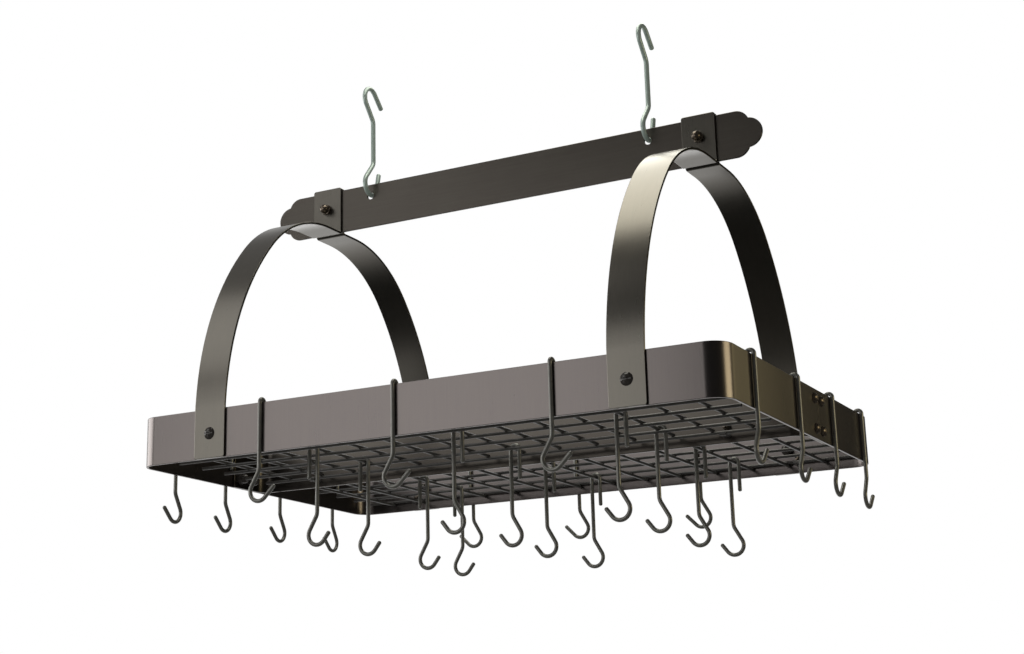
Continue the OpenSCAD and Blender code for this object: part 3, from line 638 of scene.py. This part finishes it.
# The screws and cap nuts
# Cold-headed truss-head screws with domed cap nuts. Slotted black ones hold the arches' feet, plain
# bronze ones the splices and tabs, smaller bronze ones the grids' clips. The rim's cap nuts are black.
BOLT_D = 6.0
FOOT_HEAD_D, FOOT_HEAD_H, FOOT_SLOT_W = 15.0, 4.0, 1.6
BOLT_HEAD_D, BOLT_HEAD_H = 13.0, 5.0
NUT_AF, NUT_H, NUT_NECK = 12.5, 5.5, 2.2
CLIP_SCREW_D, CLIP_HEAD_D, CLIP_HEAD_H = 4.0, 8.0, 2.4
CLIP_NUT_AF, CLIP_NUT_H, CLIP_NECK = 7.0, 3.2, 1.1
SPLICE_DY, SPLICE_EDGE = 11.5, 12.0
TAB_BOLT_DROP = 26.0
CLIP_X, CLIP_SCREW_Z, CLIP_T = 285.0, 18.0, 1.5
SHANK_CHAMFER, HEAD_EASE, DOME_INSET = 0.4, 0.2, 0.25
NUT_INSET, NUT_FOOT, NUT_BREAK = 0.1, 0.35, 0.4
CAP_INSET, CAP_SINK = 0.05, 0.5
DOME_STEPS = 8
FOOT_SIDES, BOLT_SIDES, CLIP_SIDES, CAP_SIDES = 40, 36, 28, 24
SAW_OVER = 1.0
FASTENER_CREASE = math.radians(35)
SCREW_COLOUR, SCREW_PALE = "#5d544a", "#645a4f"
DARK_SCREW_COLOUR, DARK_SCREW_PALE = "#2a2725", "#34312e"

screw_coat = satin_coat(
    "satin_bronze_coated_screws", SCREW_COLOUR, SCREW_PALE,
    roughness=0.24, metallic=0.85, grain=(500.0, 500.0, 500.0))
dark_screw_coat = satin_coat(
    "glossy_black_coated_screws", DARK_SCREW_COLOUR, DARK_SCREW_PALE,
    roughness=0.2, metallic=0.3, grain=(500.0, 500.0, 500.0))


def lathe(outline, count):
    """Turns an outline of (radius, height) about Z. It starts and ends on the axis."""
    shape = bmesh.new()
    rings = []
    for r, z in outline:
        around = arc(0, 0, r, 0, 2 * math.pi, count)[:-1] if r else [(0, 0)]
        rings.append([shape.verts.new((x, y, z)) for x, y in around])
    for low, high in zip(rings, rings[1:]):
        for k in range(count):
            n = (k + 1) % count
            if len(low) == 1:
                shape.faces.new((low[0], high[k], high[n]))
            elif len(high) == 1:
                shape.faces.new((low[k], low[n], high[0]))
            else:
                shape.faces.new((low[k], low[n], high[n], high[k]))
    bmesh.ops.recalc_face_normals(shape, faces=shape.faces)
    return shape


def hidden(name, shape):
    """A loose part that the fastener tree copies, out of sight of the render."""
    mesh = bpy.data.meshes.new(name)
    shape.to_mesh(mesh)
    shape.free()
    mesh.transform(Matrix.Scale(MM, 4))
    mesh.shade_smooth()
    mesh.set_sharp_from_angle(angle=FASTENER_CREASE)
    piece = bpy.data.objects.new(name, mesh)
    bpy.context.scene.collection.objects.link(piece)
    return piece


def screw(head_d, head_h, shank_d, shank_l, sides):
    """A screw with a domed head, pointing down. The head rests at 0."""
    r, dome = head_d / 2, (head_d ** 2 / 4 + head_h ** 2) / (2 * head_h)
    reach = math.asin((r - DOME_INSET) / dome)
    return hidden("screw", lathe([
        (0, -shank_l), (shank_d / 2 - SHANK_CHAMFER, -shank_l), (shank_d / 2, SHANK_CHAMFER - shank_l),
        (shank_d / 2, 0), (r - HEAD_EASE, 0), (r, HEAD_EASE),
        *arc(0, head_h - dome, dome, math.pi / 2 - reach, math.pi / 2, DOME_STEPS)[:-1],
        (0, head_h)], sides))


def slotted(piece, width, depth, reach, head_h):
    """Saws a driver slot across a screw's head."""
    saw = bmesh.new()
    bmesh.ops.create_cube(
        saw, size=1.0, matrix=Matrix.Translation((0, 0, head_h + (SAW_OVER - depth) / 2))
        @ Matrix.Diagonal((reach, width, depth + SAW_OVER, 1)))
    blade = hidden("saw", saw)
    cut = piece.modifiers.new("slot", "BOOLEAN")
    cut.operation, cut.object, cut.solver = "DIFFERENCE", blade, "EXACT"
    mesh = bpy.data.meshes.new_from_object(piece.evaluated_get(bpy.context.evaluated_depsgraph_get()))
    piece.modifiers.remove(cut)
    piece.data = mesh
    mesh.set_sharp_from_angle(angle=FASTENER_CREASE)
    bpy.data.objects.remove(blade)
    return piece


def cap_nut(af, hex_h, neck):
    """A hexagon with its corners turned off, a neck and a dome."""
    shape = bmesh.new()
    corner = af / 2 / math.cos(math.pi / 6)
    levels = ((0, af / 2 - NUT_INSET), (NUT_FOOT, corner), (hex_h - NUT_BREAK, corner),
              (hex_h, af / 2 - NUT_INSET))
    rows = [[shape.verts.new((x, y, z)) for x, y in arc(0, 0, r, 0, 2 * math.pi, 6)[:-1]]
            for z, r in levels]
    for low, high in zip(rows, rows[1:]):
        for k in range(6):
            shape.faces.new((low[k], low[(k + 1) % 6], high[(k + 1) % 6], high[k]))
    shape.faces.new(list(reversed(rows[0])))
    shape.faces.new(rows[-1])
    r = af / 2 - CAP_INSET
    dome = [(0, hex_h - CAP_SINK), (r, hex_h - CAP_SINK),
            *arc(0, hex_h + neck, r, 0, math.pi / 2, DOME_STEPS)[:-1], (0, hex_h + neck + r)]
    cap = lathe(dome, CAP_SIDES)
    top = bpy.data.meshes.new("cap")
    cap.to_mesh(top)
    cap.free()
    shape.from_mesh(top)
    bmesh.ops.recalc_face_normals(shape, faces=shape.faces)
    return hidden("nut", shape)


fastener_tree, given, end = tree_with("fasteners", [
    ("Geometry", "Geometry"), ("Part", "Object"), ("Material", "Material")])
facing = add(
    fastener_tree, "GeometryNodeInputNamedAttribute", {"Name": "facing"}, data_type="FLOAT_VECTOR")
aimed = add(
    fastener_tree, "FunctionNodeAlignRotationToVector", {"Vector": facing.outputs["Attribute"]},
    axis="Z")
model = add(fastener_tree, "GeometryNodeObjectInfo", {"Object": given.outputs["Part"]})
copies = add(fastener_tree, "GeometryNodeInstanceOnPoints", {
    "Points": given.outputs["Geometry"], "Instance": model.outputs["Geometry"],
    "Rotation": aimed.outputs["Rotation"]})
real = add(fastener_tree, "GeometryNodeRealizeInstances", {"Geometry": copies.outputs["Instances"]})
dressed = add(fastener_tree, "GeometryNodeSetMaterial", {
    "Geometry": real.outputs[0], "Material": given.outputs["Material"]})
fastener_tree.links.new(dressed.outputs[0], end.inputs["Geometry"])


def fasteners(name, part, seats, node, coat=screw_coat):
    """One mesh of equal fasteners. A seat is a place in millimetres and the way that the head points."""
    mesh = bpy.data.meshes.new(name)
    mesh.from_pydata([(Vector(p) - ORIGIN) * MM for p, way in seats], [], [])
    ways = mesh.attributes.new("facing", "FLOAT_VECTOR", "POINT")
    for k, (p, way) in enumerate(seats):
        ways.data[k].vector = way
    piece = grown(name, mesh, fastener_tree, {"Part": part, "Material": coat})
    bpy.data.objects.remove(part)
    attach(piece, "rack")
    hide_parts(node)


inner_l, inner_d = RIM_L / 2 - STRIP_T, RIM_D / 2 - STRIP_T
tab_bolt_z = arch_top_z + BAR_H - TAB_BOLT_DROP
grip = NUT_H + NUT_NECK
corners = [(sx, sy) for sx in (-1, 1) for sy in (-1, 1)]
splices = [(sx, sx * (SEAM_Y + dy), z) for sx in (-1, 1) for dy in (-SPLICE_DY, SPLICE_DY)
           for z in (SPLICE_EDGE, RIM_H - SPLICE_EDGE)]
fasteners(
    "foot_screw_heads", slotted(
        screw(FOOT_HEAD_D, FOOT_HEAD_H, BOLT_D, 2 * STRIP_T + grip, FOOT_SIDES),
        FOOT_SLOT_W, FOOT_HEAD_H / 2, 2 * FOOT_HEAD_D, FOOT_HEAD_H),
    [((sx * ARCH_X, sy * arch_out_y, RIM_H / 2), (0, sy, 0)) for sx, sy in corners],
    "foot_screws", dark_screw_coat)
fasteners(
    "foot_cap_nuts", cap_nut(NUT_AF, NUT_H, NUT_NECK),
    [((sx * ARCH_X, sy * inner_d, RIM_H / 2), (0, -sy, 0)) for sx, sy in corners],
    "foot_nuts", dark_screw_coat)
fasteners(
    "splice_screw_heads", screw(BOLT_HEAD_D, BOLT_HEAD_H, BOLT_D, 2 * STRIP_T + grip, BOLT_SIDES),
    [((sx * RIM_L / 2, y, z), (sx, 0, 0)) for sx, y, z in splices], "splice_screws")
fasteners(
    "splice_cap_nuts", cap_nut(NUT_AF, NUT_H, NUT_NECK),
    [((sx * (inner_l - STRIP_T), y, z), (-sx, 0, 0)) for sx, y, z in splices],
    "splice_nuts", dark_screw_coat)
fasteners(
    "tab_bolt_heads", screw(BOLT_HEAD_D, BOLT_HEAD_H, BOLT_D, 3 * STRIP_T + grip, BOLT_SIDES),
    [((sx * ARCH_X, 1.5 * STRIP_T, tab_bolt_z), (0, 1, 0)) for sx in (-1, 1)], "tab_bolts")
fasteners(
    "tab_cap_nuts", cap_nut(NUT_AF, NUT_H, NUT_NECK),
    [((sx * ARCH_X, -1.5 * STRIP_T, tab_bolt_z), (0, -1, 0)) for sx in (-1, 1)], "tab_nuts")
clip_face = STRIP_T / 2 + CLIP_T
fasteners(
    "clip_screw_heads", screw(CLIP_HEAD_D, CLIP_HEAD_H, CLIP_SCREW_D, STRIP_T + CLIP_T, CLIP_SIDES),
    [((sx * CLIP_X, clip_face, CLIP_SCREW_Z), (0, 1, 0)) for sx in (-1, 1)]
    + [((sx * CLIP_X, sy * (inner_d - CLIP_T), CLIP_SCREW_Z), (0, -sy, 0)) for sx, sy in corners],
    "clip_screws")
fasteners(
    "clip_cap_nuts", cap_nut(CLIP_NUT_AF, CLIP_NUT_H, CLIP_NECK),
    [((sx * CLIP_X, -clip_face, CLIP_SCREW_Z), (0, -1, 0)) for sx in (-1, 1)], "clip_nuts")


# The grid clips
# Small hooks of thin sheet, screwed to the crossbar and the rim. A grid's outer long wires lie in them.
CLIP_W, CLIP_TOP, CLIP_LIP = 8.0, 24.0, 4.0
CLIP_BEND_R, CLIP_CORNER_R, CLIP_EDGE_R = 0.9, 1.0, 0.25

clip_bend_l = CLIP_BEND_R * math.pi / 2
last_long_y = FIRST_LONG_Y + (LONG_COUNT - 1) * LONG_PITCH
for name, side, wire_z in (("grid_clips_front", -1, GRID_Z), ("grid_clips_rear", 1, upper_z)):
    parts = []
    for sx in (-1, 1):
        for y, way, reach in (
                (STRIP_T / 2, 1, FIRST_LONG_Y - STRIP_T / 2), (inner_d, -1, inner_d - last_long_y)):
            shelf = wire_z - GRID_WIRE / 2 - SEAT_GAP - CLIP_T / 2
            lip = reach + GRID_WIRE / 2 + SEAT_GAP + CLIP_T / 2
            path = [
                (CLIP_TOP - shelf - CLIP_BEND_R, 0), (clip_bend_l, CLIP_BEND_R),
                (lip - CLIP_T / 2 - 2 * CLIP_BEND_R, 0), (clip_bend_l, CLIP_BEND_R),
                (CLIP_LIP - CLIP_T / 2 - CLIP_BEND_R, 0)]
            parts.append(bent_plate(
                "clip", [rounded(run_of(path), CLIP_W, CLIP_CORNER_R, count=4)], path,
                (sx * CLIP_X, side * (y + way * CLIP_T / 2), CLIP_TOP), (0, 0, -1), (side * way, 0, 0),
                grid_coat, edge=CLIP_EDGE_R, thick=CLIP_T))
    whole_mesh = bmesh.new()
    for part in parts:
        whole_mesh.from_mesh(part.data)
    mesh = parts[0].data
    whole_mesh.to_mesh(mesh)
    whole_mesh.free()
    for part in parts[1:]:
        bpy.data.objects.remove(part)
    piece = parts[0]
    piece.name = name + "_sheet"
    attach(piece, "rack")
    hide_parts(name)


# The studio
# A pale floor well below the hanging rack, a white surround, and soft boxes on all sides that the
# camera doesn't see. Reflections see a dark room with one bright side, behind the rack and to its left.
FLOOR_Z = -1.9
FLOOR_HALF = 6.0
FLOOR_COLOUR, FLOOR_PALE = "#e9e8e6", "#f1f0ee"
BRIGHT_WAY = (-0.70, 0.70, -0.15)
BRIGHT_FROM = 0.55
DARK_LEVEL, ROOM_LEVEL = 0.02, 0.35

floor_paint = bpy.data.materials.new("pale_matt_floor")
floor_paint.use_nodes = True
floor_tree = floor_paint.node_tree
floor_tree.nodes.clear()
place = add(floor_tree, "ShaderNodeTexCoord").outputs["Object"]
grit = add(floor_tree, "ShaderNodeTexNoise", {"Vector": place, "Scale": 3.0, "Detail": 2.0})
pale = add(floor_tree, "ShaderNodeMix", data_type="RGBA")
floor_tree.links.new(grit.outputs["Fac"], pale.inputs["Factor"])
pale.inputs["A"].default_value = linear(FLOOR_COLOUR)
pale.inputs["B"].default_value = linear(FLOOR_PALE)
matt = add(floor_tree, "ShaderNodeBsdfDiffuse", {"Color": pale.outputs["Result"]})
add(floor_tree, "ShaderNodeOutputMaterial", {"Surface": matt.outputs[0]})
shape = bmesh.new()
bmesh.ops.create_grid(
    shape, x_segments=8, y_segments=8, size=FLOOR_HALF, matrix=Matrix.Translation((0, 0, FLOOR_Z)))
floor_mesh = bpy.data.meshes.new("floor")
shape.to_mesh(floor_mesh)
shape.free()
floor_mesh.materials.append(floor_paint)
floor = bpy.data.objects.new("floor", floor_mesh)
bpy.context.scene.collection.objects.link(floor)
floor.visible_glossy = False

world = bpy.data.worlds.new("white_surround")
bpy.context.scene.world = world
world.use_nodes = True
sky = world.node_tree
sky.nodes.clear()
kind = add(sky, "ShaderNodeLightPath")
seen = calc(sky, "MAXIMUM", kind.outputs["Is Camera Ray"], kind.outputs["Is Transmission Ray"])
way = add(sky, "ShaderNodeTexCoord").outputs["Generated"]
toward = add(sky, "ShaderNodeVectorMath", {0: way, 1: BRIGHT_WAY}, operation="DOT_PRODUCT")
mirrored = add(sky, "ShaderNodeMapRange", {
    "Value": toward.outputs["Value"], "From Min": BRIGHT_FROM, "From Max": 1.0,
    "To Min": DARK_LEVEL, "To Max": 1.0}, interpolation_type="SMOOTHSTEP")
room = add(sky, "ShaderNodeMix", {
    "Factor": kind.outputs["Is Glossy Ray"], "A": ROOM_LEVEL, "B": mirrored.outputs["Result"]})
level = add(sky, "ShaderNodeMix", {"Factor": seen, "A": room.outputs["Result"], "B": 1.0})
white = add(sky, "ShaderNodeBackground", {
    "Color": linear("#ffffff"), "Strength": level.outputs["Result"]})
add(sky, "ShaderNodeOutputWorld", {"Surface": white.outputs[0]})


def soft_box(name, place, target, size, radiance, colour="#ffffff"):
    """An area lamp of even radiance, aimed from its place to the target. Sizes are in metres."""
    lamp = bpy.data.lights.new(name, "AREA")
    lamp.shape = "RECTANGLE"
    lamp.size, lamp.size_y = size
    lamp.energy = radiance * size[0] * size[1] * math.pi
    lamp.color = linear(colour)[:3]
    box = bpy.data.objects.new(name, lamp)
    box.location = place
    box.rotation_euler = (Vector(target) - Vector(place)).to_track_quat("-Z", "Y").to_euler()
    box.visible_camera = False
    bpy.context.scene.collection.objects.link(box)


soft_box("front_soft_box", (-0.89, -1.6, -0.22), (-0.89, 0, -0.22), (1.56, 0.95), 1.52)
soft_box("upper_left_soft_box", (-1.6, -1.44, 1.15), (-0.27, -0.24, -0.34), (1.4, 1.2), 1.5)
soft_box("lower_left_soft_box", (-1.6, -1.5, -1.5), (-0.27, 0.24, -0.34), (0.8, 0.8), 0.6)
soft_box("left_soft_box", (-2.2, -0.6, -0.1), (-0.38, -0.2, -0.5), (1.6, 0.8), 4.0)
soft_box("top_left_soft_box", (-0.88, 0.2, 0.46), (-0.88, 0.2, 0), (0.6, 1.2), 0.3)
soft_box("top_soft_box", (-0.02, 0.08, 0.46), (-0.02, 0.08, 0), (0.5, 1.15), 4.2, "#fffdf2")
soft_box("right_soft_box", (1.53, 0.07, -0.25), (0.37, -0.24, -0.5), (0.75, 0.4), 3.6, "#fff0c4")
soft_box("back_soft_box", (-1.0, 2.6, 0.6), (-1.0, 0, 0.6), (2.2, 2.2), 0.8)
soft_box("floor_soft_box", (0, 0, -1.1), (0, 0, FLOOR_Z), (11.0, 11.0), 0.5)
soft_box("rear_right_soft_box", (0.86, 0.6, -0.3), (0.4, -0.2, -0.5), (0.3, 0.5), 0.7, "#ffeeb4")


# The camera
# It stands low in front, right of the middle, and looks up and to the left at the rack.
# The focal length and the middle of the view are in pixels of a picture of this size.
IMAGE_W, IMAGE_H = 1024, 654
FOCAL, CENTRE_X, CENTRE_Y = 1759.0, 440.1, 269.9
SENSOR_W = 36.0
CAMERA_PLACE = Vector((0.9902, -1.9309, -0.9099))
YAW, PITCH, ROLL = math.radians(29.40), math.radians(16.04), math.radians(-0.88)

look = Vector((-math.sin(YAW) * math.cos(PITCH), math.cos(YAW) * math.cos(PITCH), math.sin(PITCH)))
level = Vector((math.cos(YAW), math.sin(YAW), 0))
rise = level.cross(look)
right = level * math.cos(ROLL) + rise * math.sin(ROLL)
above = rise * math.cos(ROLL) - level * math.sin(ROLL)
lens = bpy.data.cameras.new("camera")
lens.sensor_width = SENSOR_W
lens.lens = FOCAL / IMAGE_W * SENSOR_W
lens.shift_x = (IMAGE_W / 2 - CENTRE_X) / IMAGE_W
lens.shift_y = (CENTRE_Y - IMAGE_H / 2) / IMAGE_W
lens.clip_end = 50.0
camera = bpy.data.objects.new("camera", lens)
axes = Matrix((right, above, -look)).transposed().to_4x4()
camera.matrix_world = Matrix.Translation(CAMERA_PLACE) @ axes
bpy.context.scene.collection.objects.link(camera)
bpy.context.scene.camera = camera
bpy.context.scene.view_settings.view_transform = "Standard"
